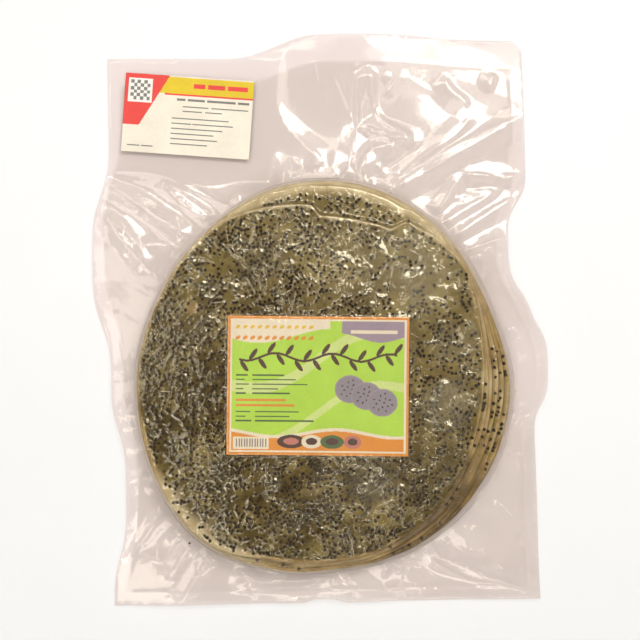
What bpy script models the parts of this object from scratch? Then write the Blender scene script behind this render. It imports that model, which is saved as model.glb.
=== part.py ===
# Vacuum pack of sesame crackers, lying flat with its label up.
#
# A clear film bag is drawn tight round a stack of thin round crackers. Its two
# sheets meet in a wide, creased margin outside the stack. A printed label lies
# on the top cracker and a small printed card lies on the margin's upper left.
# Units are metres, +Z is up, +Y is the bag's long way and z = 0 is the table.

import math
import random

import bmesh
import bpy
from mathutils import Quaternion, Vector
from mathutils.bvhtree import BVHTree

# Bag
BAG_HALF_WIDTH = 0.150
BAG_HALF_LENGTH = 0.200
MARGIN_THICKNESS = 0.0012
MARGIN_LIFT = 0.0022
SKIRT_LIFT = 0.0042
SKIRT_REACH = 0.030
WAVE_HEIGHT = 0.0009
CORNER_PULL = 0.0030

# Stack of crackers
STACK_HEIGHT = 0.0225
STACK_CENTRE = (0.0000, -0.0415)
COCKLE_HEIGHT = 0.0005
EDGE_ROUNDING = 0.0025
FOOT_REACH = 0.004
LEAST_LEDGE = 0.0045
LEAST_LEDGE_DROP = 0.0035
MOST_LEDGE_DROP = 0.0115
LEDGE_SLANT_ANGLE = math.radians(-20)

# Radius of the whole stack and of the top cracker: mean, then waves of
# (turns round the stack, height of the wave, angle of its crest)
STACK_RADIUS = 0.1325
STACK_WAVES = ((2, 0.0046, 78), (3, 0.0019, -18), (4, 0.0012, -23))
TOP_RADIUS = 0.1236
TOP_WAVES = ((1, 0.0037, -149), (2, 0.0024, 84), (3, 0.0021, 21), (4, 0.0025, 43))

# Bays and bulges of those outlines: (middle, half width, softness of both ends) in
# degrees, then the step outward in metres
STACK_BAYS = ((-30, 40, 14, 0.0038), (-97, 14, 10, -0.0024), (-131, 8, 8, 0.0016), (140, 24, 14, -0.0022))
TOP_BAYS = ((77.5, 14, 1.8, -0.0060), (48, 14, 2, 0.0028), (108, 15, 4, 0.0013), (20, 10, 8, -0.0022),
            (180, 32, 16, 0.0037), (-30, 46, 14, -0.0036), (-97, 18, 10, -0.0025), (-131, 20, 10, 0.0050))

# Label and card
TOUCH_GAP = 0.0003
LABEL_SIZE = (0.124, 0.095)
LABEL_CENTRE = (-0.0014, -0.0450)
LABEL_TURN = math.radians(-0.6)
LABEL_THICKNESS = 0.0003
CARD_SIZE = (0.090, 0.055)
CARD_CENTRE = (-0.0928, 0.1428)
CARD_TURN = math.radians(-4.0)
CARD_THICKNESS = 0.0004
CARD_SEAT = 0.0036
CARD_SEAT_RIM = 0.014
CARD_SEAT_FADE = 0.010

# Sesame seeds
SEED_SIZE = (0.0028, 0.0020, 0.0012)
SEED_COUNT = 260
SEED_RISE = 0.00015
SEED_EDGE_CLEARANCE = 0.007
SEED_LABEL_CLEARANCE = 0.004
SEED_JITTER = 0.0022

# Mesh: rings of the square grid, counted from the middle out
RING_COUNT = 20
RING_OF_FLAT = 9
LABEL_CELLS = (12, 9)

# Creases of the margin: (start, end, height of the crest, half width), in mm.
# They start at the stack or at another crease and run out to the edges.
CREASES = (
    ((33, 176), (29, 139), 2.0, 9), ((29, 139), (66, 125), 2.0, 9),
    ((26, 104), (57, 124), 1.6, 9), ((46, 91), (106, 143), 1.6, 10),
    ((48, 88), (143, 143), 2.4, 11), ((81, 74), (99, 102), 1.4, 8),
    ((99, 102), (135, 100), 1.4, 9), ((84, 67), (125, 90), 1.5, 9),
    ((93, 58), (136, 86), 1.8, 9), ((100, 48), (130, 58), 1.8, 9),
    ((133, -67), (160, -55), 1.2, 9), ((77, -164), (152, -190), 1.6, 11),
    ((-62, -184), (-2, -181), 1.5, 9), ((-76, -161), (-100, -198), 1.8, 10),
    ((-90, -154), (-107, -181), 1.6, 9), ((-106, -134), (-128, -162), 1.4, 10),
    ((-90, 57), (-152, 98), 2.4, 10), ((-74, 71), (-114, 100), 1.6, 9),
    ((-121, 36), (-153, 75), 2.2, 9), ((-58, 77), (-113, 102), 1.4, 8),
    ((1, 111), (-45, 153), 1.6, 12), ((16, 98), (27, 138), 1.4, 10),
)


def smooth(low, high, value):
    """Rise from 0 at low to 1 at high with a soft start and end."""
    t = min(1.0, max(0.0, (value - low) / (high - low)))
    return t * t * (3.0 - 2.0 * t)


def mix(first, second, share):
    return first + (second - first) * share


def hump(value, centre, reach):
    """A flat-topped hump, 1 at its centre and near 0 beyond its reach."""
    return math.exp(-((value - centre) / reach) ** 4)


def left_edge(y):
    return -0.1466 - 0.012 * y - 0.0125 * hump(y, 0.052, 0.053) + 0.0095 * hump(y, -0.118, 0.050)


def right_edge(y):
    return 0.1478 - 0.033 * y - 0.0145 * hump(y, 0.052, 0.034) + 0.0105 * hump(y, -0.033, 0.030)


def lower_edge(x):
    return -0.1978 + 0.018 * x + 0.0027 * hump(x, -0.002, 0.012)


def upper_edge(x):
    rise = 0.0155 * smooth(-0.062, 0.0, x) + 0.0020 * hump(x, 0.030, 0.050)
    return 0.1830 + rise - 0.0025 * smooth(0.050, 0.140, x)


def bag_point(u, v):
    """Place in the bag's outline of a point (u, v) of the square from -1 to 1."""
    x = mix(left_edge(v * BAG_HALF_LENGTH), right_edge(v * BAG_HALF_LENGTH), (u + 1.0) / 2.0)
    y = mix(lower_edge(u * BAG_HALF_WIDTH), upper_edge(u * BAG_HALF_WIDTH), (v + 1.0) / 2.0)
    pull = CORNER_PULL * smooth(0.94, 1.0, u) * smooth(0.955, 1.0, v)
    return x - pull, y - pull


def wavy_radius(mean, waves, angle):
    return mean + sum(h * math.cos(n * (angle - math.radians(crest))) for n, h, crest in waves)


def turn_from(angle, degrees):
    """Angle away from a direction, from minus pi to pi."""
    return (angle - math.radians(degrees) + math.pi) % (2.0 * math.pi) - math.pi


def bay_depth(bays, angle):
    """Sum of the steps outward that an outline's bays and bulges make at an angle."""
    return sum(step * smooth(math.radians(half + soft), math.radians(half - soft), abs(turn_from(angle, middle)))
               for middle, half, soft, step in bays)


def stack_edge(angle):
    """Distance from the stack's middle to the widest cracker's edge."""
    return wavy_radius(STACK_RADIUS, STACK_WAVES, angle) + bay_depth(STACK_BAYS, angle)


def top_edge(angle):
    """Distance from the stack's middle to the top cracker's edge."""
    edge = wavy_radius(TOP_RADIUS, TOP_WAVES, angle) + bay_depth(TOP_BAYS, angle)
    return min(edge, stack_edge(angle) - LEAST_LEDGE)


def stack_polar(x, y):
    dx = x - STACK_CENTRE[0]
    dy = y - STACK_CENTRE[1]
    return math.hypot(dx, dy), math.atan2(dy, dx)


def cockle(x, y):
    """Slow unevenness of the top cracker."""
    wave = math.sin(58.0 * x + 22.0 * y + 0.8) + 0.8 * math.sin(-31.0 * x + 64.0 * y + 2.1)
    return COCKLE_HEIGHT * (wave + 0.6 * math.sin(44.0 * x - 38.0 * y))


def in_turned_box(x, y, centre, size, turn, margin):
    """Distance inside a turned rectangle grown by margin: above 0 is inside."""
    dx = x - centre[0]
    dy = y - centre[1]
    along = dx * math.cos(turn) + dy * math.sin(turn)
    across = dy * math.cos(turn) - dx * math.sin(turn)
    return min(size[0] / 2.0 + margin - abs(along), size[1] / 2.0 + margin - abs(across))


def crease_height(x, y, crease):
    """A tent with a sharp crest, fading out towards both ends."""
    start, end, height, half_width = crease
    sx, sy = start[0] / 1000.0, start[1] / 1000.0
    dx, dy = end[0] / 1000.0 - sx, end[1] / 1000.0 - sy
    length = math.hypot(dx, dy)
    along = ((x - sx) * dx + (y - sy) * dy) / length ** 2
    across = abs((y - sy) * dx - (x - sx) * dy) / length
    fade = smooth(-0.10, 0.15, along) * (1.0 - smooth(0.75, 1.20, along))
    return height / 1000.0 * fade * max(0.0, 1.0 - across * 1000.0 / half_width)


def margin_height(x, y):
    """Upper side of the margin, where the bag's two sheets lie together."""
    radius, angle = stack_polar(x, y)
    beyond = max(0.0, radius - stack_edge(angle) - FOOT_REACH)
    wave = math.sin(52.0 * x + 31.0 * y + 0.4) + math.sin(24.0 * x - 71.0 * y + 1.9)
    height = MARGIN_LIFT + SKIRT_LIFT * math.exp(-beyond / SKIRT_REACH) + WAVE_HEIGHT * wave
    height = max(height, MARGIN_THICKNESS + TOUCH_GAP)
    height += max(crease_height(x, y, crease) for crease in CREASES)
    reach = CARD_SEAT_RIM + CARD_SEAT_FADE
    inside = in_turned_box(x, y, CARD_CENTRE, CARD_SIZE, CARD_TURN, reach)
    return mix(height, CARD_SEAT - TOUCH_GAP, smooth(0.0, CARD_SEAT_FADE, inside))


def top_height(x, y):
    """Upper side of the pack: top cracker, ledge of lower crackers, skirt and margin."""
    radius, angle = stack_polar(x, y)
    stack = stack_edge(angle)
    top = top_edge(angle)
    slant = 0.5 + 0.5 * math.cos(angle - LEDGE_SLANT_ANGLE)
    drop = mix(LEAST_LEDGE_DROP, MOST_LEDGE_DROP, slant ** 2)
    edge = 0.25 * smooth(top - EDGE_ROUNDING, top + EDGE_ROUNDING, radius)
    ledge = 0.75 * min(1.0, max(0.0, (radius - top) / (stack - top)))
    on_stack = STACK_HEIGHT + cockle(x, y) - drop * (edge + ledge)
    return mix(on_stack, margin_height(x, y), smooth(stack, stack + FOOT_REACH, radius))


def under_height(x, y):
    """Lower side of the pack: flat under the stack, close below the margin's upper side."""
    radius, angle = stack_polar(x, y)
    stack = stack_edge(angle)
    lift = smooth(stack, stack + FOOT_REACH, radius)
    return lift * max(0.0, top_height(x, y) - MARGIN_THICKNESS)


def spoke_radius(share, angle, outline):
    """Radius of a grid ring: dense where the sheet turns over the stack's edge."""
    stack = stack_edge(angle)
    top = top_edge(angle)
    stations = (0.0, top - EDGE_ROUNDING, top + EDGE_ROUNDING / 2.0,
                (top + stack) / 2.0, stack, stack + FOOT_REACH, outline)
    rings = (0, RING_OF_FLAT, RING_OF_FLAT + 1, RING_OF_FLAT + 2,
             RING_OF_FLAT + 3, RING_OF_FLAT + 4, RING_COUNT)
    ring = share * RING_COUNT
    for i in range(len(rings) - 1):
        if ring <= rings[i + 1] + 1e-6:
            step = (ring - rings[i]) / (rings[i + 1] - rings[i])
            return mix(stations[i], stations[i + 1], step)
    return outline


def ring_point(u, v):
    """Move a point of the square grid out along its spoke from the stack's centre."""
    share = max(abs(u), abs(v))
    if share < 1e-6:
        return STACK_CENTRE
    edge_x, edge_y = bag_point(u / share, v / share)
    outline, angle = stack_polar(edge_x, edge_y)
    radius = spoke_radius(share, angle, outline)
    return STACK_CENTRE[0] + radius * math.cos(angle), STACK_CENTRE[1] + radius * math.sin(angle)


def close_sheet(bm, under):
    """Give an open upper sheet its sides and an under side at height under(x, y)."""
    sheet = bmesh.ops.extrude_face_region(bm, geom=bm.faces[:])
    for vertex in [item for item in sheet["geom"] if isinstance(item, bmesh.types.BMVert)]:
        vertex.co.z = under(vertex.co.x, vertex.co.y)
    bmesh.ops.recalc_face_normals(bm, faces=bm.faces[:])


def material(name, colour, roughness, alpha=1.0):
    made = bpy.data.materials.new(name)
    made.use_nodes = True
    shader = made.node_tree.nodes["Principled BSDF"]
    shader.inputs["Base Color"].default_value = (*colour, 1.0)
    shader.inputs["Roughness"].default_value = roughness
    shader.inputs["Metallic"].default_value = 0.0
    shader.inputs["Alpha"].default_value = alpha
    return made


def add_object(name, bm, collection, finish, smooth_angle=None):
    mesh = bpy.data.meshes.new(name)
    bm.to_mesh(mesh)
    bm.free()
    if smooth_angle is not None:
        mesh.shade_smooth()
        mesh.set_sharp_from_angle(angle=smooth_angle)
    mesh.materials.append(finish)
    made = bpy.data.objects.new(name, mesh)
    collection.objects.link(made)
    return made


def add_bag(collection, finish):
    bm = bmesh.new()
    bmesh.ops.create_grid(bm, x_segments=2 * RING_COUNT, y_segments=2 * RING_COUNT, size=1.0)
    for vertex in bm.verts:
        x, y = ring_point(vertex.co.x, vertex.co.y)
        vertex.co = (x, y, top_height(x, y))
    bmesh.ops.triangulate(bm, faces=bm.faces[:], quad_method='SHORT_EDGE')
    close_sheet(bm, under_height)
    base = [face for face in bm.faces if all(vertex.co.z == 0.0 for vertex in face.verts)]
    bmesh.ops.dissolve_faces(bm, faces=base, use_verts=True)
    return add_object("bag", bm, collection, finish, math.radians(30))


def add_label(collection, finish):
    bm = bmesh.new()
    bmesh.ops.create_grid(bm, x_segments=LABEL_CELLS[0], y_segments=LABEL_CELLS[1], size=0.5)
    for vertex in bm.verts:
        along = vertex.co.x * LABEL_SIZE[0]
        across = vertex.co.y * LABEL_SIZE[1]
        x = LABEL_CENTRE[0] + along * math.cos(LABEL_TURN) - across * math.sin(LABEL_TURN)
        y = LABEL_CENTRE[1] + along * math.sin(LABEL_TURN) + across * math.cos(LABEL_TURN)
        vertex.co = (x, y, top_height(x, y) + TOUCH_GAP + LABEL_THICKNESS)
    bmesh.ops.triangulate(bm, faces=bm.faces[:], quad_method='SHORT_EDGE')
    close_sheet(bm, lambda x, y: top_height(x, y) + TOUCH_GAP)
    return add_object("label", bm, collection, finish)


def add_card(collection, finish):
    bm = bmesh.new()
    bmesh.ops.create_cube(bm, size=1.0)
    bmesh.ops.scale(bm, vec=(*CARD_SIZE, CARD_THICKNESS), verts=bm.verts[:])
    card = add_object("card", bm, collection, finish)
    card.location = (*CARD_CENTRE, CARD_SEAT + CARD_THICKNESS / 2.0)
    card.rotation_euler = (0.0, 0.0, CARD_TURN)
    return card


def seed_places():
    """A sunflower spiral over the top cracker, shaken a little, clear of rim and label."""
    draw = random.Random(7)
    golden = math.pi * (3.0 - math.sqrt(5.0))
    for i in range(SEED_COUNT):
        angle = i * golden
        edge = top_edge(angle) - SEED_EDGE_CLEARANCE
        radius = edge * math.sqrt((i + 0.5) / SEED_COUNT)
        x = STACK_CENTRE[0] + radius * math.cos(angle) + draw.uniform(-SEED_JITTER, SEED_JITTER)
        y = STACK_CENTRE[1] + radius * math.sin(angle) + draw.uniform(-SEED_JITTER, SEED_JITTER)
        turn = draw.uniform(0.0, math.pi)
        size = draw.uniform(0.9, 1.15)
        if in_turned_box(x, y, LABEL_CENTRE, LABEL_SIZE, LABEL_TURN, SEED_LABEL_CLEARANCE) < 0.0:
            yield x, y, turn, size


def fuse_seeds(bag):
    """Set sesame seeds on the bag's facets and join them to it in one union."""
    seeds = bpy.data.collections.new("seeds")
    bpy.context.scene.collection.children.link(seeds)
    bm = bmesh.new()
    bm.from_mesh(bag.data)
    facets = BVHTree.FromBMesh(bm)
    bm.free()
    for x, y, turn, size in seed_places():
        spot, normal, _, _ = facets.ray_cast(Vector((x, y, 0.1)), Vector((0.0, 0.0, -1.0)))
        grain = bmesh.new()
        bmesh.ops.create_icosphere(grain, subdivisions=1, radius=0.5)
        bmesh.ops.scale(grain, vec=Vector(SEED_SIZE) * size, verts=grain.verts[:])
        seed = add_object("seed", grain, seeds, bag.data.materials[0])
        seed.location = spot + normal * SEED_RISE
        seed.rotation_mode = 'QUATERNION'
        seed.rotation_quaternion = normal.to_track_quat('Z', 'Y') @ Quaternion((0.0, 0.0, 1.0), turn)
    union = bag.modifiers.new("union", 'BOOLEAN')
    union.operation = 'UNION'
    union.operand_type = 'COLLECTION'
    union.collection = seeds
    union.solver = 'EXACT'
    view = bpy.context.evaluated_depsgraph_get()
    fused = bpy.data.meshes.new_from_object(bag.evaluated_get(view))
    bag.modifiers.clear()
    bag.data = fused
    for seed in list(seeds.objects):
        bpy.data.objects.remove(seed)
    bpy.data.collections.remove(seeds)


def main():
    for old in list(bpy.data.objects):
        bpy.data.objects.remove(old)
    pack = bpy.data.collections.new("sesame_cracker_pack")
    bpy.context.scene.collection.children.link(pack)
    bag = add_bag(pack, material("clear_pack", (0.42, 0.36, 0.22), 0.25))
    add_label(pack, material("label_paper", (0.72, 0.78, 0.30), 0.45))
    add_card(pack, material("card_stock", (0.95, 0.88, 0.72), 0.50))
    fuse_seeds(bag)


main()
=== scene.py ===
# Looks of the sesame cracker pack: film, crackers, seeds, printed label and card.
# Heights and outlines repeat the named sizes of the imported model, in metres.
import math
import random

import bpy
import numpy as np
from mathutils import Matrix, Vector, geometry, noise
from mathutils.bvhtree import BVHTree
from mathutils.kdtree import KDTree


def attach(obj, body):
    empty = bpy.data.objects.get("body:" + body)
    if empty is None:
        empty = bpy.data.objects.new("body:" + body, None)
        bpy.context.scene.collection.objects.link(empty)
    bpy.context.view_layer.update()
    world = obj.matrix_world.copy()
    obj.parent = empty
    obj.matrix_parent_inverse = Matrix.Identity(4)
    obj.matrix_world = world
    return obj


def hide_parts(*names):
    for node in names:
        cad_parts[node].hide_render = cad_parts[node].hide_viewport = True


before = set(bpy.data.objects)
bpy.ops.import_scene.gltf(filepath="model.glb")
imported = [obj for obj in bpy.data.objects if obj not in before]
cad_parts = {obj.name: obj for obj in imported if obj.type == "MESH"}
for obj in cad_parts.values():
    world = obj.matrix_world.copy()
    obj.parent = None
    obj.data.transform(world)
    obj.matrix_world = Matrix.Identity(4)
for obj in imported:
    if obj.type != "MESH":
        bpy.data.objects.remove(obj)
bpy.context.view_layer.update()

# Bag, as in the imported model
BAG_HALF_WIDTH = 0.150
BAG_HALF_LENGTH = 0.200
MARGIN_LIFT = 0.0022
SKIRT_LIFT = 0.0042
SKIRT_REACH = 0.030
WAVE_HEIGHT = 0.0009
CORNER_PULL = 0.0030
LEAST_LIFT = 0.0015

# Stack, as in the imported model
STACK_HEIGHT = 0.0225
STACK_CENTRE = (0.0000, -0.0415)
COCKLE_HEIGHT = 0.0005
EDGE_ROUNDING = 0.0025
FOOT_REACH = 0.0024
LEAST_RIM = 0.0016
LEAST_LEDGE_DROP = 0.0035
MOST_LEDGE_DROP = 0.0115
LEDGE_SLANT_ANGLE = math.radians(-20)
STACK_RADIUS = 0.1325
STACK_WAVES = ((2, 0.0046, 78), (3, 0.0019, -18), (4, 0.0012, -23))
TOP_RADIUS = 0.1236
TOP_WAVES = ((1, 0.0037, -149), (2, 0.0024, 84), (3, 0.0021, 21), (4, 0.0025, 43))
STACK_BAYS = ((-30, 40, 14, 0.0038), (-97, 14, 10, -0.0024), (-131, 8, 8, 0.0016), (140, 24, 14, -0.0022))
TOP_BAYS = ((77.5, 14, 1.8, -0.0060), (48, 14, 2, 0.0028), (108, 15, 4, 0.0013), (20, 10, 8, -0.0022),
            (180, 32, 16, 0.0037), (-30, 46, 14, -0.0036), (-97, 18, 10, -0.0025), (-131, 20, 10, 0.0050))

# Label and card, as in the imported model
TOUCH_GAP = 0.0003
LABEL_SIZE = (0.124, 0.095)
LABEL_CENTRE = (-0.0014, -0.0450)
LABEL_TURN = math.radians(-0.6)
LABEL_THICKNESS = 0.0003
CARD_SIZE = (0.090, 0.055)
CARD_CENTRE = (-0.0928, 0.1428)
CARD_TURN = math.radians(-4.0)
CARD_THICKNESS = 0.0004
CARD_SEAT = 0.0036
CARD_SEAT_RIM = 0.014
CARD_SEAT_FADE = 0.010

# Creases of the margin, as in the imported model: (start, end, height, half width) in mm
CREASES = (
    ((33, 176), (29, 139), 2.0, 9), ((29, 139), (66, 125), 2.0, 9),
    ((26, 104), (57, 124), 1.6, 9), ((46, 91), (106, 143), 1.6, 10),
    ((48, 88), (143, 143), 2.4, 11), ((81, 74), (99, 102), 1.4, 8),
    ((99, 102), (135, 100), 1.4, 9), ((84, 67), (125, 90), 1.5, 9),
    ((93, 58), (136, 86), 1.8, 9), ((100, 48), (130, 58), 1.8, 9),
    ((133, -67), (160, -55), 1.2, 9), ((77, -164), (152, -190), 1.6, 11),
    ((-62, -184), (-2, -181), 1.5, 9), ((-76, -161), (-100, -198), 1.8, 10),
    ((-90, -154), (-107, -181), 1.6, 9), ((-106, -134), (-128, -162), 1.4, 10),
    ((-90, 57), (-152, 98), 2.4, 10), ((-74, 71), (-114, 100), 1.6, 9),
    ((-121, 36), (-153, 75), 2.2, 9), ((-58, 77), (-113, 102), 1.4, 8),
    ((1, 111), (-45, 153), 1.6, 12), ((16, 98), (27, 138), 1.4, 10),
)

# Folds finer than those: (width of the steep side, width of the other side, line), in mm
FOLDS = (
    (3.0, 9, ((-152, 98), (-139, 91), (-127, 81), (-113, 70), (-102, 63), (-90, 57))),
    (2.0, 7, ((-129, 76), (-113, 66), (-95, 55))),
    (2.8, 9, ((-153, 75), (-145, 67), (-136, 62), (-127, 52), (-123, 45), (-121, 36))),
    (2.0, 8, ((-114, 100), (-104, 88), (-90, 77), (-83, 73), (-74, 71))),
    (2.0, 8, ((-113, 102), (-99, 100), (-86, 93), (-74, 84), (-58, 77))),
    (2.4, 6, ((-88, 111), (-74, 103), (-63, 100), (-56, 105), (-57, 113))),
    (1.8, 7, ((-123, 52), (-92, 52))),
    (2.2, 12, ((-45, 153), (-28, 144), (-10, 125), (1, 111), (-8, 107), (-22, 100))),
    (1.8, 6, ((-35, 126), (-31, 116))),
    (2.0, 6, ((21, 107), (14, 98))),
    (2.0, 6, ((-8, 171), (-1, 166), (6, 169), (8, 173))),
    (2.0, 9, ((9, 171), (19, 147), (24, 138))),
    (2.2, 10, ((26, 134), (24, 124), (22, 112), (16, 98))),
    (4.4, 4, ((27, 175), (26, 153), (27, 138), (33, 132), (48, 128), (66, 126))),
    (3.4, 4, ((36, 177), (37, 158), (41, 144), (50, 136), (58, 132), (66, 127))),
    (2.0, 6, ((45, 156), (52, 165), (60, 176))),
    (2.0, 6, ((43, 168), (48, 175))),
    (7.0, 10, ((26, 102), (36, 120), (57, 124))),
    (3.5, 5, ((27, 105), (33, 96), (38, 91))),
    (3.0, 5, ((38, 110), (48, 101))),
    (5.0, 14, ((85, 172), (93, 160), (107, 150))),
    (5.0, 10, ((117, 159), (123, 175))),
    (1.5, 8, ((46, 91), (58, 102), (73, 116), (93, 128), (106, 143))),
    (2.2, 9, ((48, 88), (64, 102), (84, 116), (100, 125), (115, 133), (143, 143))),
    (1.5, 8, ((81, 74), (93, 88), (99, 102))),
    (2.0, 6, ((99, 102), (111, 102), (124, 100))),
    (4.0, 5, ((123, 99), (143, 101))),
    (1.4, 7, ((84, 67), (100, 78), (115, 86), (125, 90))),
    (1.8, 5, ((91, 83), (98, 86), (108, 84))),
    (1.8, 5, ((100, 90), (124, 91))),
    (1.5, 8, ((93, 58), (110, 71), (129, 83), (136, 86))),
    (1.6, 8, ((100, 48), (114, 53), (129, 59))),
    (1.5, 7, ((100, 47), (116, 46), (132, 43))),
    (2.0, 8, ((133, -67), (146, -62), (160, -55))),
    (1.8, 5, ((114, -135), (114, -122))),
    (1.8, 5, ((129, -90), (126, -100), (129, -111))),
    (1.8, 4, ((135, -93), (143, -93))),
    (2.0, 9, ((77, -164), (102, -179), (123, -183), (152, -190))),
    (2.2, 4, ((117, -173), (123, -168))),
    (2.2, 4, ((138, -179), (143, -176))),
    (4.0, 5, ((44, -181), (50, -169), (57, -178))),
    (2.4, 4, ((0, -181), (7, -179))),
    (2.6, 7, ((-62, -184), (-53, -178), (-41, -184), (-21, -183), (-2, -181))),
    (2.6, 5, ((-52, -181), (-48, -190), (-44, -197))),
    (2.2, 9, ((-76, -161), (-88, -179), (-100, -198))),
    (2.2, 7, ((-111, -160), (-100, -152), (-91, -147))),
    (2.4, 8, ((-90, -154), (-99, -167), (-107, -181))),
    (2.0, 8, ((-112, -136), (-121, -150), (-128, -162), (-119, -166), (-109, -169))),
)
FOLD_SLOPE = 0.27
FOLD_SIDE = 0.0002
# Places on the stack where the film is crinkled most: (x, y, reach, strength), in mm
CRINKLES = ((66, 38, 38, 1.0), (30, 36, 22, 0.7), (92, -16, 20, 0.7), (87, -58, 24, 0.9),
            (38, -112, 26, 0.8), (-40, 42, 30, 0.6), (-84, 42, 20, 0.55), (-80, -48, 18, 0.5),
            (-92, -84, 14, 0.5), (-30, -118, 14, 0.5))
SMALL_FOLDS = 70
SEAL_INSET = {"left": 0.0085, "right": 0.0085, "low": 0.0090, "high": 0.0190}
SEAL_WIDTHS = (1.6, 2.4)
SEAL_SLOPE = 0.09
FACET_SIZE = (0.019, 0.028)
FACET_HEIGHTS = (0.0013, 0.0026)
CALM_SPOT = (-0.013, 0.141, 0.036)
PALE_BULGE = (0.150, -0.036)
PALE_BULGE_REACH = (0.024, 0.036)
MARGIN_CELL = 0.0024
MARGIN_GAP = 0.0007
SHEET_GAP = 0.0005
EDGE_GAP = 0.00015
BASE_LIFT = 0.00015

# Film over the stack: heights and sizes of its ridges, facets and domes
RIDGE_HEIGHT, RIDGE_SIZE = 0.00045, 0.0100
CRUMPLE_HEIGHT, CRUMPLE_SIZE = 0.0019, 0.0060
LARGE_DOME, LARGE_DOME_CURVE = 0.0064, 0.022
SMALL_DOME, SMALL_DOME_CURVE = 0.0044, 0.011
SEED_BUMP_HEIGHT, SEED_BUMP_REACH = 0.00035, 0.0018

# Crackers and seeds. LAST is the uppermost cracker, and lower ones than DRAPED_FROM don't show
CRACKER_COUNT = 10
LAST = CRACKER_COUNT - 1
DRAPED_FROM = 3
CRACKER_PITCH = 0.00215
CRACKER_THICKNESS = 0.0018
CRACKER_ROUNDING = 0.0016
FILM_TO_CRACKER = 0.0009
DRAPE_SLOPE = 1.15
RIM_INSET = 0.0006
RIM_WOBBLE = 0.0005
RIM_BACK = 0.0007
LEDGE_BACK = 0.0012
CRIMP_HEIGHT, CRIMP_SIZE = 0.00025, 0.012
GRAIN_HEIGHT, GRAIN_SIZE = 0.00012, 0.007
# Bare rim, of lower crackers and of the last: least width, and more at the back or lower left
LEAST_BARE = (0.0048, 0.0020)
BARE_RIM = (0.0035, 0.0108)
RAGGED_RIM = (0.0024, 0.0070)
SEED_SPACE = 0.0021
SEED_LENGTH = 0.0027
SEED_WIDTH = 0.0022
SEED_HEIGHT = 0.0012
SEED_REACH = 0.142
# Seeds: tries and the most that lie there, on the last cracker, each ledge and the back
TOP_SEEDS = (40000, 2350)
LEDGE_SEEDS = (9000, 400)
BACK_SEEDS = (30000, 2200)
BARE_PATCH = (0.050, 0.030, 0.042)
STRAY_SEED = (-0.0912, -0.1560)

# Directions from the middle of the stack, in degrees: (middle, reach to both sides)
BACK_STEP = (83, 42)
BACK_RIM = (83, 45)
# The next four directions place painted light and shade on the rims; the lower left also widens the last
# cracker's bare rim.
UPPER_SIDE = (92, 52)
RIGHT_SIDE = (-8, 20)
LOWER_RIGHT = (-42, 24)
LOWER_LEFT = (-131, 20)

# Cells of the meshes: numbers along a side, and sizes
LAST_CELLS = 150
CRACKER_CELLS = 72
COVER_CELLS = 300
BASE_CELLS = 72
PRINT_CELL = 0.0004
UNDER_CELL = 0.004
LABEL_PAPER = 0.00018

LABEL_INKS = {
    "orange": (0.88, 0.35, 0.042), "cream": (0.96, 0.89, 0.68), "lime": (0.54, 0.86, 0.085),
    "pale_lime": (0.74, 0.91, 0.32), "yellow": (0.90, 0.62, 0.06), "mauve": (0.42, 0.34, 0.42),
    "grey": (0.34, 0.32, 0.36), "wine": (0.10, 0.045, 0.03), "leaf": (0.10, 0.18, 0.06),
    "rose": (0.62, 0.24, 0.18), "ash": (0.30, 0.27, 0.26)}
CARD_INKS = {
    "card_cream": (0.93, 0.84, 0.70), "card_yellow": (0.80, 0.57, 0.006), "card_red": (0.85, 0.056, 0.040),
    "card_white": (0.92, 0.90, 0.84), "card_grey": (0.22, 0.20, 0.18)}

# Lights: (name, place, size, power, colour)
LIGHTS = (
    ("softbox", (0.47, 0.70, 1.30), (0.50, 0.45), 7.5, (1.0, 0.98, 0.94)),
    ("left_box", (-0.42, 0.66, 1.30), (0.24, 0.22), 2.0, (1.0, 0.98, 0.94)),
    ("back_strip", (-0.02, 0.76, 1.30), (0.50, 0.14), 0.8, (1.0, 0.97, 0.91)),
    ("left_panel", (-0.64, 0.06, 1.30), (0.36, 0.64), 1.9, (1.0, 0.98, 0.95)),
    ("front_panel", (0.05, -1.00, 1.30), (0.84, 0.18), 1.9, (1.0, 0.98, 0.95)),
    ("corner_panel", (-0.56, -0.56, 1.30), (0.30, 0.30), 1.3, (1.0, 0.98, 0.93)),
    ("right_panel", (0.32, 0.44, 1.30), (0.34, 0.40), 0.8, (1.0, 0.98, 0.95)),
)
ROOM_DIM = (0.525, 0.515, 0.485)
ROOM_BRIGHT = (1.10, 1.07, 1.02)
ROOM_BULB = (12.0, 11.6, 10.4)
ROOM_EVEN = (0.145, 0.143, 0.140)
FLOOR_WIDTH = 2.5
CAMERA_HEIGHT = 0.74
FRAME_WIDTH = 640.0 / 1420.0


def smooth(low, high, value):
    """0 below low, 1 above high, and level at both."""
    t = np.clip((value - low) / (high - low), 0.0, 1.0)
    return t * t * (3.0 - 2.0 * t)


def mix(first, second, share):
    """The value that lies a share of the way from the first to the second."""
    return first + (second - first) * share


def hump(value, centre, reach):
    """1 round a centre, fading out at its reach."""
    return np.exp(-((value - centre) / reach) ** 4)


def patch(x, y, middle_x, middle_y, reach):
    """1 in the middle of a round patch, fading out at its reach."""
    return np.exp(-(np.hypot(x - middle_x, y - middle_y) / reach) ** 4)


def left_edge(y):
    return -0.1466 - 0.012 * y - 0.0125 * hump(y, 0.052, 0.053) + 0.0095 * hump(y, -0.118, 0.050)


def right_edge(y):
    return 0.1478 - 0.033 * y - 0.0145 * hump(y, 0.052, 0.034) + 0.0105 * hump(y, -0.033, 0.030)


def lower_edge(x):
    return -0.1978 + 0.018 * x + 0.0027 * hump(x, -0.002, 0.012)


def upper_edge(x):
    rise = 0.0155 * smooth(-0.062, 0.0, x) + 0.0020 * hump(x, 0.030, 0.050)
    return 0.1830 + rise - 0.0025 * smooth(0.050, 0.140, x)


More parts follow.
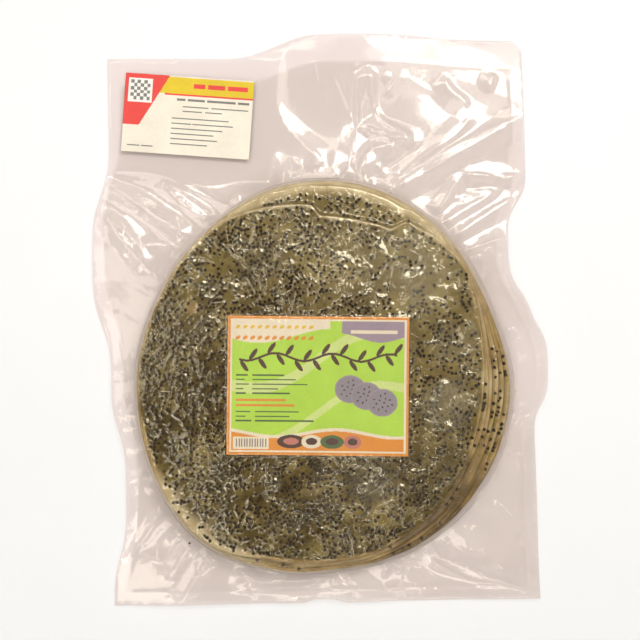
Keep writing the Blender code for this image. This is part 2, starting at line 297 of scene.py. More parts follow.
def bag_point(u, v):
    x = mix(left_edge(v * BAG_HALF_LENGTH), right_edge(v * BAG_HALF_LENGTH), (u + 1.0) / 2.0)
    y = mix(lower_edge(u * BAG_HALF_WIDTH), upper_edge(u * BAG_HALF_WIDTH), (v + 1.0) / 2.0)
    pull = CORNER_PULL * smooth(0.94, 1.0, u) * smooth(0.955, 1.0, v)
    return x - pull, y - pull


def wavy_radius(mean, waves, angle):
    return mean + sum(h * np.cos(n * (angle - math.radians(crest))) for n, h, crest in waves)


def turn_from(angle, degrees):
    """Angle away from a direction, -pi to pi."""
    return (angle - math.radians(degrees) + math.pi) % (2.0 * math.pi) - math.pi


def near_direction(angle, direction):
    """How near an angle is to one of the named directions, 0 to 1."""
    middle, reach = direction
    return hump(turn_from(angle, middle), 0.0, math.radians(reach))


def bay_depth(bays, angle):
    depth = 0.0
    for middle, half, soft, step in bays:
        away = abs(turn_from(angle, middle))
        depth = depth + step * smooth(math.radians(half + soft), math.radians(half - soft), away)
    return depth


def stack_edge(angle):
    return wavy_radius(STACK_RADIUS, STACK_WAVES, angle) + bay_depth(STACK_BAYS, angle)


def top_edge(angle):
    edge = wavy_radius(TOP_RADIUS, TOP_WAVES, angle) + bay_depth(TOP_BAYS, angle)
    return np.minimum(edge, stack_edge(angle) - LEAST_RIM)


def stack_polar(x, y):
    dx = x - STACK_CENTRE[0]
    dy = y - STACK_CENTRE[1]
    return np.hypot(dx, dy), np.arctan2(dy, dx)


def polar_place(radius, angle):
    """The place at a distance and an angle from the middle of the stack."""
    return STACK_CENTRE[0] + radius * np.cos(angle), STACK_CENTRE[1] + radius * np.sin(angle)


def beyond_stack(x, y):
    """How far a place lies outside the outline of the stack, less than 0 inside it."""
    radius, angle = stack_polar(x, y)
    return radius - stack_edge(angle)


def past_stack(x, y):
    """0 over the stack, rising to 1 at its foot."""
    return smooth(0.0, FOOT_REACH, beyond_stack(x, y))


def cockle(x, y):
    wave = np.sin(58.0 * x + 22.0 * y + 0.8) + 0.8 * np.sin(-31.0 * x + 64.0 * y + 2.1)
    return COCKLE_HEIGHT * (wave + 0.6 * np.sin(44.0 * x - 38.0 * y))


def in_turned_box(x, y, centre, size, turn, margin):
    dx = x - centre[0]
    dy = y - centre[1]
    along = dx * math.cos(turn) + dy * math.sin(turn)
    across = dy * math.cos(turn) - dx * math.sin(turn)
    return np.minimum(size[0] / 2.0 + margin - abs(along), size[1] / 2.0 + margin - abs(across))


def crease_height(x, y, crease):
    start, end, height, half_width = crease
    sx, sy = start[0] / 1000.0, start[1] / 1000.0
    dx, dy = end[0] / 1000.0 - sx, end[1] / 1000.0 - sy
    length = math.hypot(dx, dy)
    along = ((x - sx) * dx + (y - sy) * dy) / length ** 2
    across = abs((y - sy) * dx - (x - sx) * dy) / length
    fade = smooth(-0.10, 0.15, along) * (1.0 - smooth(0.75, 1.20, along))
    return height / 1000.0 * fade * np.maximum(0.0, 1.0 - across * 1000.0 / half_width)


def card_seat_share(x, y):
    reach = CARD_SEAT_RIM + CARD_SEAT_FADE
    inside = in_turned_box(x, y, CARD_CENTRE, CARD_SIZE, CARD_TURN, reach)
    return smooth(0.0, CARD_SEAT_FADE, inside)


def margin_height(x, y):
    beyond = np.maximum(0.0, beyond_stack(x, y) - FOOT_REACH)
    wave = np.sin(52.0 * x + 31.0 * y + 0.4) + np.sin(24.0 * x - 71.0 * y + 1.9)
    height = MARGIN_LIFT + SKIRT_LIFT * np.exp(-beyond / SKIRT_REACH) + WAVE_HEIGHT * wave
    height = np.maximum(height, LEAST_LIFT)
    height = height + np.max([crease_height(x, y, crease) for crease in CREASES], axis=0)
    return mix(height, CARD_SEAT - TOUCH_GAP, card_seat_share(x, y))


def ledge_drop(angle):
    slant = 0.5 + 0.5 * np.cos(angle - LEDGE_SLANT_ANGLE)
    return mix(LEAST_LEDGE_DROP, MOST_LEDGE_DROP, slant ** 2)


def depth_of(level):
    """How far a cracker's upper face lies below the last one's."""
    return (LAST - level) * CRACKER_PITCH


def cracker_edge(level, angle):
    """Distance to the edge of one cracker: the top one is smallest, the widest lie lower."""
    last = level == LAST
    top = top_edge(angle)
    stack = stack_edge(angle) - RIM_INSET
    share = np.clip(depth_of(level) / ledge_drop(angle), 0.0, 1.0)
    share = share ** mix(1.0, 0.2, near_direction(angle, BACK_STEP))
    draw = random.Random(40 + level)
    wobble = 0.0
    for turns in (2, 3, 5, 8):
        wobble = wobble + draw.uniform(0.2, 1.0) * np.cos(turns * angle + draw.uniform(0.0, 6.3))
    slack = 0.0 if last else RIM_WOBBLE * wobble
    back = RIM_BACK if last else RIM_BACK + LEDGE_BACK * (1.0 - share)
    return np.minimum(mix(top, stack, share) + slack - back, stack)


def inside_cracker(level, x, y):
    """How far inside the edge of a cracker a place lies."""
    radius, angle = stack_polar(x, y)
    return cracker_edge(level, angle) - radius


def cracker_top(level, x, y):
    """Height of a cracker's upper face, whose waves fade downwards."""
    depth = depth_of(level)
    settle = 1.0 - depth / STACK_HEIGHT
    return STACK_HEIGHT - FILM_TO_CRACKER - depth + cockle(x, y) * settle


def stack_height(x, y):
    """Height of the film where it lies on the crackers and steps down over their edges."""
    radius, angle = stack_polar(x, y)
    drapes = []
    for level in range(DRAPED_FROM, CRACKER_COUNT):
        beyond = np.maximum(0.0, radius - cracker_edge(level, angle) - 0.0002)
        drapes.append(cracker_top(level, x, y) - DRAPE_SLOPE * beyond)
    return np.max(drapes, axis=0) + FILM_TO_CRACKER


def top_height(x, y):
    return mix(stack_height(x, y), margin_height(x, y), past_stack(x, y))


# Meshes: grids, also with rings that run from the middle of the stack to an outline


def grid_places(columns, rows):
    """Places of a grid's corners, each from -0.5 to 0.5, row by row."""
    across, up = np.meshgrid(np.linspace(-0.5, 0.5, columns + 1), np.linspace(-0.5, 0.5, rows + 1))
    return across.ravel(), up.ravel()


def grid_quads(columns, rows):
    """Corner numbers of a grid's cells, anticlockwise from above."""
    stride = columns + 1
    corner = (np.arange(rows)[:, None] * stride + np.arange(columns)[None, :]).ravel()
    return np.stack([corner, corner + 1, corner + stride + 1, corner + stride], axis=1)


def grid_rim(columns, rows):
    """Numbers of a grid's outer corners, in order, anticlockwise from above."""
    stride = columns + 1
    along, up = np.arange(columns), np.arange(rows)
    upper = rows * stride + columns - along
    return np.concatenate([along, columns + up * stride, upper, (rows - up) * stride])


def ring_layout(cells, rings, stations):
    """Places of a square grid's corners, moved out along spokes from the stack's centre.

    rings are shares of the way out, and stations(angle) the radii there.
    """
    u, v = (2.0 * places for places in grid_places(cells, cells))
    share = np.maximum(np.abs(u), np.abs(v))
    safe = np.maximum(share, 1e-6)
    angle = stack_polar(*bag_point(u / safe, v / safe))[1]
    radii = stations(angle)
    radius = np.zeros_like(share)
    for i in range(len(rings) - 1):
        step = np.clip((share - rings[i]) / (rings[i + 1] - rings[i]), 0.0, 1.0)
        radius = radius + step * (radii[i + 1] - radii[i])
    return polar_place(radius, angle)


def hem_faces(front_rim, back_rim):
    """Triangles that join two rims with different numbers of points."""
    front, back = ([int(i) for i in (*rim, rim[0])] for rim in (front_rim, back_rim))
    faces = []
    i = j = 0
    while i < len(front_rim) or j < len(back_rim):
        step_back = j * len(front_rim) < i * len(back_rim) or i == len(front_rim)
        faces.append((front[i], back[j], back[j + 1] if step_back else front[i + 1]))
        if step_back:
            j += 1
        else:
            i += 1
    return faces


def add_object(name, data, place=(0.0, 0.0, 0.0)):
    made = bpy.data.objects.new(name, data)
    made.location = place
    bpy.context.scene.collection.objects.link(made)
    return made


def make_object(name, points, faces, *finishes):
    mesh = bpy.data.meshes.new(name)
    mesh.from_pydata(points.tolist(), [], faces)
    mesh.validate()
    mesh.shade_smooth()
    for finish in finishes:
        mesh.materials.append(finish)
    return add_object(name, mesh)


def paint_values(piece, **layers):
    """Store numbers for each point of a piece under the given names, for its material to read."""
    for name, values in layers.items():
        layer = piece.data.attributes.new(name, 'FLOAT', 'POINT')
        layer.data.foreach_set("value", np.asarray(values, np.float32))


def noise_at(x, y, scale, seed):
    """Smooth noise, about -1 to 1, with features of the given size in metres."""
    return noise.noise(Vector((x / scale, y / scale, seed)))


def noise_field(x, y, scale, seed):
    """Smooth noise at every place, as an array."""
    return np.array([noise_at(a, b, scale, seed) for a, b in zip(x.tolist(), y.tolist())])


def ridges(x, y, scale, seed, sharpness):
    """Thin crests on low ground, 0 to 1."""
    return np.clip(1.0 - np.abs(noise_field(x, y, scale, seed)) * 2.6, 0.0, 1.0) ** sharpness


# Creased film: single folds, and a net of flat facets


def smooth_line(points, spacing=0.002):
    """Evenly spaced places, in metres, on a smooth line through points in mm."""
    knots = np.array(points, float) / 1000.0
    knots = np.vstack([2.0 * knots[0] - knots[1], knots, 2.0 * knots[-1] - knots[-2]])
    places = []
    for i in range(1, len(knots) - 2):
        a, b, c, d = knots[i - 1:i + 3]
        steps = max(2, round(math.hypot(*(c - b)) / spacing))
        for t in np.arange(steps) / steps:
            places.append(0.5 * (2.0 * b + (c - a) * t + (2.0 * a - 5.0 * b + 4.0 * c - d) * t ** 2
                                 + (3.0 * b - a - 3.0 * c + d) * t ** 3))
    places.append(knots[-2])
    return np.array(places)


def across_line(line):
    """Steps of length 1 to the left of a line, at each of its places."""
    step = np.gradient(line, axis=0)
    return np.stack([-step[:, 1], step[:, 0]], axis=1) / np.hypot(*step.T)[:, None]


class Fold:
    """A crease: a steep strip on the side that faces out, a long slope on the other."""

    def __init__(self, steep, broad, points, slope=FOLD_SLOPE):
        self.steep, self.broad = steep / 1000.0, broad / 1000.0
        self.height = slope * self.steep
        self.line = smooth_line(points)
        self.steps = np.diff(self.line, axis=0)
        lean = self.steps[:, 0] * self.line[1:, 1] - self.steps[:, 1] * self.line[1:, 0]
        self.side = 1.0 if lean.sum() > 0.0 else -1.0

    def rise(self, x, y):
        """Height of the fold over each place."""
        rise = np.zeros(len(x))
        low, high = self.line.min(axis=0) - self.broad, self.line.max(axis=0) + self.broad
        near = np.nonzero((x > low[0]) & (x < high[0]) & (y > low[1]) & (y < high[1]))[0]
        px, py = x[near], y[near]
        best = np.full(len(near), 1.0)
        across, along = np.zeros(len(near)), np.zeros(len(near))
        for i, (start, step) in enumerate(zip(self.line, self.steps)):
            dx, dy = px - start[0], py - start[1]
            t = np.clip((dx * step[0] + dy * step[1]) / (step @ step), 0.0, 1.0)
            away = np.hypot(dx - t * step[0], dy - t * step[1])
            closer = away < best
            turn = np.where(step[0] * dy - step[1] * dx > 0.0, self.side, -self.side)
            best = np.where(closer, away, best)
            across = np.where(closer, turn * away, across)
            along = np.where(closer, i + t, along)
        short = np.clip(1.0 - across / self.steep, 0.0, 1.0)
        gentle = np.clip(1.0 + across / self.broad, 0.0, 1.0)
        ends = min(3.5, 0.35 * len(self.steps))
        fade = smooth(0.0, ends, along) * smooth(0.0, ends, len(self.steps) - along)
        rise[near] = self.height * fade * np.where(across > 0.0, short, gentle)
        return rise

    def rows(self):
        """Mesh points along the fold, close together where the film turns most."""
        bends = (-self.broad, -self.broad / 2.0, -FOLD_SIDE, FOLD_SIDE)
        offsets = (*bends, self.steep - FOLD_SIDE, self.steep + FOLD_SIDE)
        normal = self.side * across_line(self.line)
        return np.concatenate([self.line + offset * normal for offset in offsets])


def small_folds():
    """Short creases: most run out from the stack's foot, the rest lie anywhere."""
    draw = random.Random(23)
    folds = []
    while len(folds) < SMALL_FOLDS:
        angle = draw.uniform(-math.pi, math.pi)
        at_foot = draw.random() < 0.6
        radius = stack_edge(angle) + FOOT_REACH + draw.uniform(*((0.0, 0.003) if at_foot else (0.01, 0.11)))
        turn = angle + draw.gauss(0.0, 0.35 if at_foot else 0.9)
        length = draw.uniform(0.007, 0.024)
        x, y = polar_place(radius, angle)
        bend = draw.uniform(-0.15, 0.15)
        line = [(1000.0 * (x + share * length * math.cos(turn + bend * share)),
                 1000.0 * (y + share * length * math.sin(turn + bend * share))) for share in (0.0, 0.5, 1.0)]
        steep, broad, slope = draw.uniform(1.3, 2.2), draw.uniform(4.0, 8.0), draw.uniform(0.14, 0.28)
        end_x, end_y = line[2][0] / 1000.0, line[2][1] / 1000.0
        if card_seat_share(np.array([x, end_x]), np.array([y, end_y])).max() == 0.0:
            folds.append(Fold(steep, broad, line, slope))
    return folds


def seal_folds():
    """The pressed seams along the four sides of the bag."""
    across = np.linspace(-0.135, 0.135, 12)
    up = np.linspace(-0.185, 0.172, 14)
    hem = across[4:]
    lines = ((left_edge(up) + SEAL_INSET["left"], up), (right_edge(up) - SEAL_INSET["right"], up),
             (across, lower_edge(across) + SEAL_INSET["low"]), (hem, upper_edge(hem) - SEAL_INSET["high"]))
    return [Fold(*SEAL_WIDTHS, 1000.0 * np.stack(line, axis=1), SEAL_SLOPE) for line in lines]


def height_on(tree, x, y):
    """Height of a faceted sheet over each place, one half where it has none."""
    down = Vector((0.0, 0.0, -1.0))
    level = np.full(len(x), 0.5)
    for i, (a, b) in enumerate(zip(x.tolist(), y.tolist())):
        spot = tree.ray_cast(Vector((a, b, 9.0)), down)[0]
        if spot:
            level[i] = spot.z
    return level


def crumple(x, y, size, seed):
    """Small flat facets over the stack, of the given size in metres and 0 to 1 high."""
    draw = random.Random(seed)
    reach = range(-round(0.15 / size), round(0.15 / size) + 1)
    flat = [Vector((i + draw.uniform(-0.45, 0.45), k + draw.uniform(-0.45, 0.45)))
            for i in reach for k in reach]
    corners, _, faces, sources, _, _ = geometry.delaunay_2d_cdt(flat, [], [], 0, 1e-7)
    raised = [draw.random() for _ in flat]
    tree = BVHTree.FromPolygons([(c.x, c.y, raised[group[0]]) for c, group in zip(corners, sources)], faces)
    return height_on(tree, (x - STACK_CENTRE[0]) / size, (y - STACK_CENTRE[1]) / size)


def domes(x, y, size, seed):
    """Round domes side by side over the stack: 0 at each middle, falling as the square of the way."""
    draw = np.random.default_rng(seed)
    half = round(0.16 / size)
    aside = draw.uniform(-0.4, 0.4, (2, 2 * half + 1, 2 * half + 1))
    u, v = (x - STACK_CENTRE[0]) / size, (y - STACK_CENTRE[1]) / size
    nearest = np.full(len(x), 9.0)
    for i in (-1, 0, 1):
        for k in (-1, 0, 1):
            column, row = np.rint(u).astype(int) + i, np.rint(v).astype(int) + k
            a, b = np.clip(column + half, 0, 2 * half), np.clip(row + half, 0, 2 * half)
            away = (column + aside[0, a, b] - u) ** 2 + (row + aside[1, a, b] - v) ** 2
            nearest = np.minimum(nearest, away)
    return -nearest * size ** 2


class Net:
    """Flat facets with sharp folds between them, drawn out away from the stack."""

    def __init__(self, around, out, seed):
        draw = random.Random(seed)
        self.turns = round(2.0 * math.pi * STACK_RADIUS / around)
        self.out = out
        rings = range(-1, int(0.17 / out) + 1)
        first = {(i, k): (draw.uniform(-0.42, 0.42), draw.uniform(-0.45, 0.45), draw.random())
                 for i in range(self.turns) for k in rings}
        flat, raised = [], []
        for i in range(-4, self.turns + 5):
            for k in rings:
                aside, beyond, height = first[i % self.turns, k]
                flat.append(Vector((i + aside, k + beyond)))
                raised.append(height)
        corners, self.edges, faces, sources, _, _ = geometry.delaunay_2d_cdt(flat, [], [], 0, 1e-7)
        self.corners = [(c.x, c.y, raised[source[0]]) for c, source in zip(corners, sources)]
        self.tree = BVHTree.FromPolygons(self.corners, faces)

    def height(self, x, y):
        """Height of the net over each place, 0 to 1."""
        radius, angle = stack_polar(x, y)
        share = (angle + math.pi) / (2.0 * math.pi) * self.turns
        return height_on(self.tree, share, (radius - stack_edge(angle)) / self.out)

    def rows(self):
        """Mesh points just beside every fold of the net, on both sides."""
        rows = []
        for start, end in self.edges:
            a, b = np.array(self.corners[start][:2]), np.array(self.corners[end][:2])
            line = a + (b - a) * np.linspace(0.06, 0.94, 7)[:, None]
            angle = line[:, 0] / self.turns * 2.0 * math.pi - math.pi
            place = np.stack(polar_place(stack_edge(angle) + line[:, 1] * self.out, angle), axis=1)
            aside = 0.0005 * across_line(place)
            rows += [place + aside, place - aside]
        return np.concatenate(rows)


# Materials


class Nodes:
    """Short names for building the nodes of one material or world."""

    def __init__(self, made, coordinates="Object"):
        made.use_nodes = True
        self.made, self.tree = made, made.node_tree
        self.place = self.tree.nodes.new("ShaderNodeTexCoord").outputs[coordinates]

    def give(self, node, inputs):
        """Link or set a node's inputs, which go by number or by name."""
        for key, value in inputs.items():
            socket = node.inputs[key]
            if hasattr(value, "is_output"):
                self.tree.links.new(value, socket)
            else:
                socket.default_value = (*value, 1.0) if socket.type == 'RGBA' else value
        return node

    def add(self, kind, *values, way=None, **named):
        """A node with its first inputs in order and the others by name."""
        node = self.tree.nodes.new("ShaderNode" + kind)
        if way:
            node.operation = way
        return self.give(node, {**dict(enumerate(values)), **named})

    def finish(self, last="Principled BSDF", **inputs):
        """Give the last node its inputs, and return the material or world."""
        self.give(self.tree.nodes[last], {name.replace("_", " "): value for name, value in inputs.items()})
        return self.made

    def noise(self, scale, detail=2.0, roughness=0.55):
        inputs = {"Vector": self.place, "Scale": scale, "Detail": detail, "Roughness": roughness}
        return self.add("TexNoise", **inputs).outputs["Fac"]

    def cells(self, scale):
        return self.add("TexVoronoi", Vector=self.place, Scale=scale).outputs["Distance"]

    def ramp(self, value, *stops):
        """The colour for a value, between stops (value, colour)."""
        node = self.add("ValToRGB", value)
        elements = node.color_ramp.elements
        for _ in stops[2:]:
            elements.new(0.5)
        for element, (position, colour) in zip(elements, stops):
            element.position = position
            element.color = (*colour, 1.0)
        return node.outputs["Color"]

    def levels(self, value, low, high, start=0.0, end=1.0, way='LINEAR'):
        """A value between low and high, moved to between start and end."""
        node = self.add("MapRange", value, low, high, start, end)
        node.interpolation_type = way
        return node.outputs["Result"]

    def blend(self, share, first, second, way='MIX'):
        """A colour between two others."""
        node = self.add("Mix")
        node.data_type = 'RGBA'
        node.blend_type = way
        return self.give(node, {0: share, 6: first, 7: second}).outputs[2]

    def mix(self, share, first, second):
        """A shader between two others."""
        return self.add("MixShader", share, first, second).outputs[0]

    def shader(self, kind, **inputs):
        return self.add("Bsdf" + kind, **inputs).outputs[0]

    def math(self, way, *values):
        return self.add("Math", *values, way=way).outputs[0]

    def plus(self, first, second):
        return self.math('ADD', first, second)

    def times(self, first, second):
        return self.math('MULTIPLY', first, second)

    def vector(self, way, *values, **named):
        return self.add("VectorMath", *values, way=way, **named).outputs["Vector"]

    def value_of(self, name):
        """A number stored for each point of a piece."""
        node = self.add("Attribute")
        node.attribute_name = name
        return node.outputs["Fac"]

    def bump(self, height, strength, distance, **below):
        inputs = {"Height": height, "Strength": strength, "Distance": distance}
        return self.add("Bump", **inputs, **below).outputs["Normal"]


def film_material():
    """Clear film: mostly see-through, a little milky, with glossy sheets of light."""
    n = Nodes(bpy.data.materials.new("clear_film"))
    over, crinkled = n.value_of("over_stack"), n.value_of("crinkled")
    domes = n.levels(n.cells(310.0), 0.0, 0.58, 1.0, 0.0, 'SMOOTHSTEP')
    calm = n.levels(crinkled, 0.0, 0.6, 1.0, 0.0)
    dome_patch = n.times(n.levels(n.noise(26.0), 0.44, 0.58), calm)
    crest = n.math('ABSOLUTE', n.math('SUBTRACT', n.noise(150.0), 0.5))
    lines = n.levels(crest, 0.0, 0.07, 1.0, 0.0, 'SMOOTHSTEP')
    line_patch = n.levels(n.noise(19.0), 0.46, 0.56)
    pressed = n.plus(n.times(domes, dome_patch), n.times(n.times(lines, line_patch), 0.6))
    pressed = n.times(pressed, n.levels(crinkled, 0.0, 0.6, 0.6, 0.2))
    fine = n.bump(n.noise(420.0), 0.10, 0.0004)
    normal = n.bump(n.times(pressed, over), 1.0, 0.00034, Normal=fine)
    # Paler, clearer film in the pressed band, partly painted light that fades towards the lower right.
    tint = n.blend(n.value_of("seal"), (0.930, 0.896, 0.880), (0.980, 0.946, 0.938))
    milk_tint = n.blend(over, (0.90, 0.83, 0.80), (0.84, 0.76, 0.56))
    fog = n.levels(n.noise(30.0, 3.0), 0.46, 0.66, 0.0, 0.040)
    milky_folds = n.levels(crinkled, 0.5, 1.0, 0.0, 0.10)
    haze = n.plus(n.levels(over, 0.0, 1.0, 0.032, 0.0), n.times(over, n.plus(fog, milky_folds)))
    milk = n.shader("Diffuse", Color=milk_tint, Normal=normal)
    body = n.mix(haze, n.shader("Transparent", Color=tint), milk)
    sheen = n.blend(over, (1.0, 0.965, 0.90), (1.0, 0.94, 0.72))
    crisp = n.shader("Glossy", Roughness=0.06, Color=sheen, Normal=normal)
    soft = n.shader("Glossy", Roughness=0.26, Color=sheen, Normal=normal)
    softer = n.plus(n.levels(crinkled, 0.0, 1.0, 0.12, 0.30), n.levels(over, 0.0, 1.0, 0.26, 0.0))
    facing = n.add("LayerWeight", Blend=0.5, Normal=normal).outputs["Facing"]
    grazing = n.times(n.math('POWER', facing, 5.0), 0.74)
    mirror = n.plus(grazing, n.levels(over, 0.0, 1.0, 0.044, 0.082))
    return n.finish("Material Output", Surface=n.mix(mirror, body, n.mix(softer, crisp, soft)))


def cracker_material():
    """Dried rice sheet: olive brown and mottled, paler towards the upper right as painted light, with painted
    light and shade at the rim: pale straw where lit, brown where shaded.
    """
    n = Nodes(bpy.data.materials.new("rice_cracker"))
    deep = n.ramp(n.noise(42.0, 4.0, 0.62), (0.36, (0.062, 0.038, 0.006)),
                  (0.50, (0.114, 0.079, 0.015)), (0.64, (0.23, 0.170, 0.043)))
    pits = n.levels(n.cells(270.0), 0.12, 0.50)
    spread = n.levels(n.noise(120.0, 3.0, 0.6), 0.40, 0.56)
    shade = n.blend(n.math('MAXIMUM', pits, spread), (0.24, 0.21, 0.17), (1.0, 1.0, 1.0))
    shaded = n.blend(1.0, deep, shade, 'MULTIPLY')
    # Painted light: the crackers are paler towards the upper right, where the lamps shine.
    lighter = n.blend(n.times(n.value_of("pale"), 0.34), shaded, (0.42, 0.33, 0.12))
    streak = n.noise(90.0, 3.0, 0.6)
    brown = n.ramp(streak, (0.30, (0.098, 0.054, 0.015)), (0.70, (0.205, 0.124, 0.046)))
    tan = n.ramp(streak, (0.30, (0.33, 0.200, 0.055)), (0.70, (0.60, 0.42, 0.15)))
    straw = n.ramp(streak, (0.30, (0.60, 0.48, 0.25)), (0.70, (0.82, 0.71, 0.46)))
    # Painted light and shade on the rims: brown where shaded, then tan, then pale straw where lit.
    thin = n.value_of("thin")
    rim = n.blend(n.levels(thin, 0.3, 1.0), n.blend(n.levels(thin, 0.0, 0.3), brown, tan), straw)
    colour = n.blend(n.value_of("rim"), lighter, rim)
    grain = n.bump(n.noise(700.0, 3.0, 0.6), 0.25, 0.0004)
    return n.finish(Base_Color=colour, Normal=grain, Roughness=0.42, Specular_IOR_Level=0.12)


def seed_material():
    """Black sesame: nearly black to dark brown, with a fine skin."""
    n = Nodes(bpy.data.materials.new("black_sesame"))
    colour = n.ramp(n.noise(260.0, 2.0, 0.5), (0.35, (0.022, 0.013, 0.004)),
                    (0.60, (0.046, 0.026, 0.009)), (0.80, (0.100, 0.058, 0.022)))
    skin = n.bump(n.noise(2500.0, 2.0, 0.5), 0.2, 0.0001)
    return n.finish(Base_Color=colour, Normal=skin, Roughness=0.45, Specular_IOR_Level=0.12)


def ink_material(name, colour, roughness=0.42):
    """Printed paper in one ink, with the paper's slight unevenness."""
    n = Nodes(bpy.data.materials.new(name))
    fleck, cloud = n.noise(900.0, 3.0, 0.6), n.noise(60.0, 2.0, 0.5)
    tone = n.times(n.levels(fleck, 0.3, 0.7, 0.94, 1.03), n.levels(cloud, 0.3, 0.7, 0.94, 1.04))
    shaded = n.vector('SCALE', colour, Scale=tone)
    return n.finish(Base_Color=shaded, Normal=n.bump(fleck, 0.1, 0.0001), Roughness=roughness)


def floor_material():
    """A white board with the faintest clouds."""
    n = Nodes(bpy.data.materials.new("white_floor"))
    cloud = n.noise(6.0, 2.0, 0.5)
    colour = n.ramp(cloud, (0.3, (0.925, 0.932, 0.955)), (0.7, (0.945, 0.952, 0.975)))
    return n.finish(Base_Color=colour, Roughness=0.7)


# Crackers and seeds


def paint_cracker(cracker, level, x, y):
    """Store where a cracker has a bare rim, the painted light and shade at its rim, and how much painted
    light makes it paler towards the upper right, 0 to 1.
    """
    last = level == LAST
    radius, angle = stack_polar(x, y)
    inward = cracker_edge(level, angle) - radius
    uneven = noise_field(x, y, 0.016, 5.0 + level)
    lower_left = near_direction(angle, LOWER_LEFT)
    wide = BARE_RIM[last] * (lower_left if last else near_direction(angle, BACK_RIM))
    ragged = mix(*RAGGED_RIM, wide / BARE_RIM[1]) if last else RAGGED_RIM[0]
    rim = smooth(LEAST_BARE[last] + wide + ragged * uneven, 0.0002, inward)
    # Painted light and shade on the rims: paler at the upper side, the right and the lower left, browner at
    # the lower right, with random unevenness.
    palest = np.maximum(near_direction(angle, UPPER_SIDE) * (0.55 if last else 1.0), lower_left)
    thin = 0.3 + 0.24 * near_direction(angle, RIGHT_SIDE) - 0.3 * near_direction(angle, LOWER_RIGHT) + palest
    thin = np.clip(thin + 0.35 * uneven, 0.0, 1.0)
    # Painted light: paler towards the upper right, the side the softbox lights.
    pale = smooth(-0.06, 0.09, 0.35 * x + 0.6 * (y + 0.04) + 0.022 * noise_field(x, y, 0.030, 21.0))
    paint_values(cracker, rim=np.tile(rim, 2), thin=np.tile(thin, 2), pale=np.tile(pale, 2))


def add_cracker(level, finish):
    """One round cracker with a rounded, crimped edge."""
    cells = LAST_CELLS if level == LAST else CRACKER_CELLS

    def stations(angle):
        edge = cracker_edge(level, angle)
        return np.zeros_like(edge), edge - 0.006, edge

    x, y = ring_layout(cells, (0.0, 0.90, 1.0), stations)
    inward = inside_cracker(level, x, y)
    crimp = CRIMP_HEIGHT * noise_field(x, y, CRIMP_SIZE, 3.0 + level) * smooth(CRIMP_SIZE, 0.0, inward)
    grain = GRAIN_HEIGHT * noise_field(x, y, GRAIN_SIZE, 9.0 + level)
    mid = cracker_top(level, x, y) - CRACKER_THICKNESS / 2.0 + crimp
    rounded = 1.0 - (1.0 - inward / CRACKER_ROUNDING).clip(0.0) ** 2
    half = CRACKER_THICKNESS / 2.0 * np.sqrt(np.clip(rounded, 0.0, 1.0))
    upper = np.stack([x, y, mid + half + grain], axis=1)
    lower = np.stack([x, y, np.maximum(mid - half, BASE_LIFT + 0.0001)], axis=1)
    quads, rim, count = grid_quads(cells, cells), grid_rim(cells, cells), len(upper)
    following = np.roll(rim, -1)
    side = np.stack([rim, rim + count, following + count, following], axis=1)
    faces = quads.tolist() + (quads[:, ::-1] + count).tolist() + side.tolist()
    cracker = make_object(f"cracker_{level + 1:02d}", np.concatenate([upper, lower]), faces, finish)
    paint_cracker(cracker, level, x, y)
    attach(cracker, "root")
    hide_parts("bag")


def seed_shape():
    """One sesame seed: a flat drop, blunt at one end."""
    sides = 6
    profile = ((-0.50, 0.0), (-0.40, 0.36), (-0.08, 0.52), (0.24, 0.42), (0.44, 0.20), (0.50, 0.0))
    points = []
    for along, wide in profile:
        for k in range(1 if wide == 0.0 else sides):
            turn = 2.0 * math.pi * k / sides
            points.append((along, wide * math.cos(turn), wide * math.sin(turn)))
    faces = []
    for k in range(sides):
        after = (k + 1) % sides
        faces.append((0, 1 + after, 1 + k))
        for ring in range(len(profile) - 3):
            base = 1 + ring * sides
            faces.append((base + k, base + after, base + sides + after, base + sides + k))
        base = 1 + (len(profile) - 3) * sides
        faces.append((base + k, base + after, len(points) - 1))
    return np.array(points), faces


def add_seeds(name, spots, finish):
    """Joined seeds at (x, y, z, turn, tilt, size)."""
    shape, shape_faces = seed_shape()
    shape = shape * (SEED_LENGTH, SEED_WIDTH, SEED_HEIGHT)
    points = []
    faces = []
    for x, y, z, turn, tilt, size in spots:
        along, aside, up = (shape * size).T
        cos, sin = math.cos(turn), math.sin(turn)
        spun = np.stack([along * cos - aside * sin, along * sin + aside * cos,
                         up + along * math.sin(tilt)], axis=1)
        start = len(points) * len(shape)
        points.append(spun + (x, y, z))
        faces.extend([tuple(start + i for i in face) for face in shape_faces])
    seeds = make_object(name, np.concatenate(points), faces, finish)
    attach(seeds, "root")
    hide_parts("bag")


def scatter(draw, tries, most, keep, height):
    """Seed spots on the stack, set apart: keep(x, y) gives the chance that one stays there."""
    spots = []
    taken = {}
    for _ in range(tries):
        if len(spots) == most:
            break
        x, y = (draw.uniform(-SEED_REACH, SEED_REACH) + middle for middle in STACK_CENTRE)
        column, row = round(x / SEED_SPACE), round(y / SEED_SPACE)
        near = [spot for i in (-1, 0, 1) for k in (-1, 0, 1) for spot in taken.get((column + i, row + k), [])]
        apart = all(math.hypot(x - a, y - b) > SEED_SPACE for a, b in near)
        if apart and draw.random() < keep(x, y):
            taken.setdefault((column, row), []).append((x, y))
            spots.append((x, y, height(x, y), draw.uniform(0.0, 2.0 * math.pi),
                          draw.uniform(-0.12, 0.12), draw.uniform(0.80, 1.12)))
    return spots


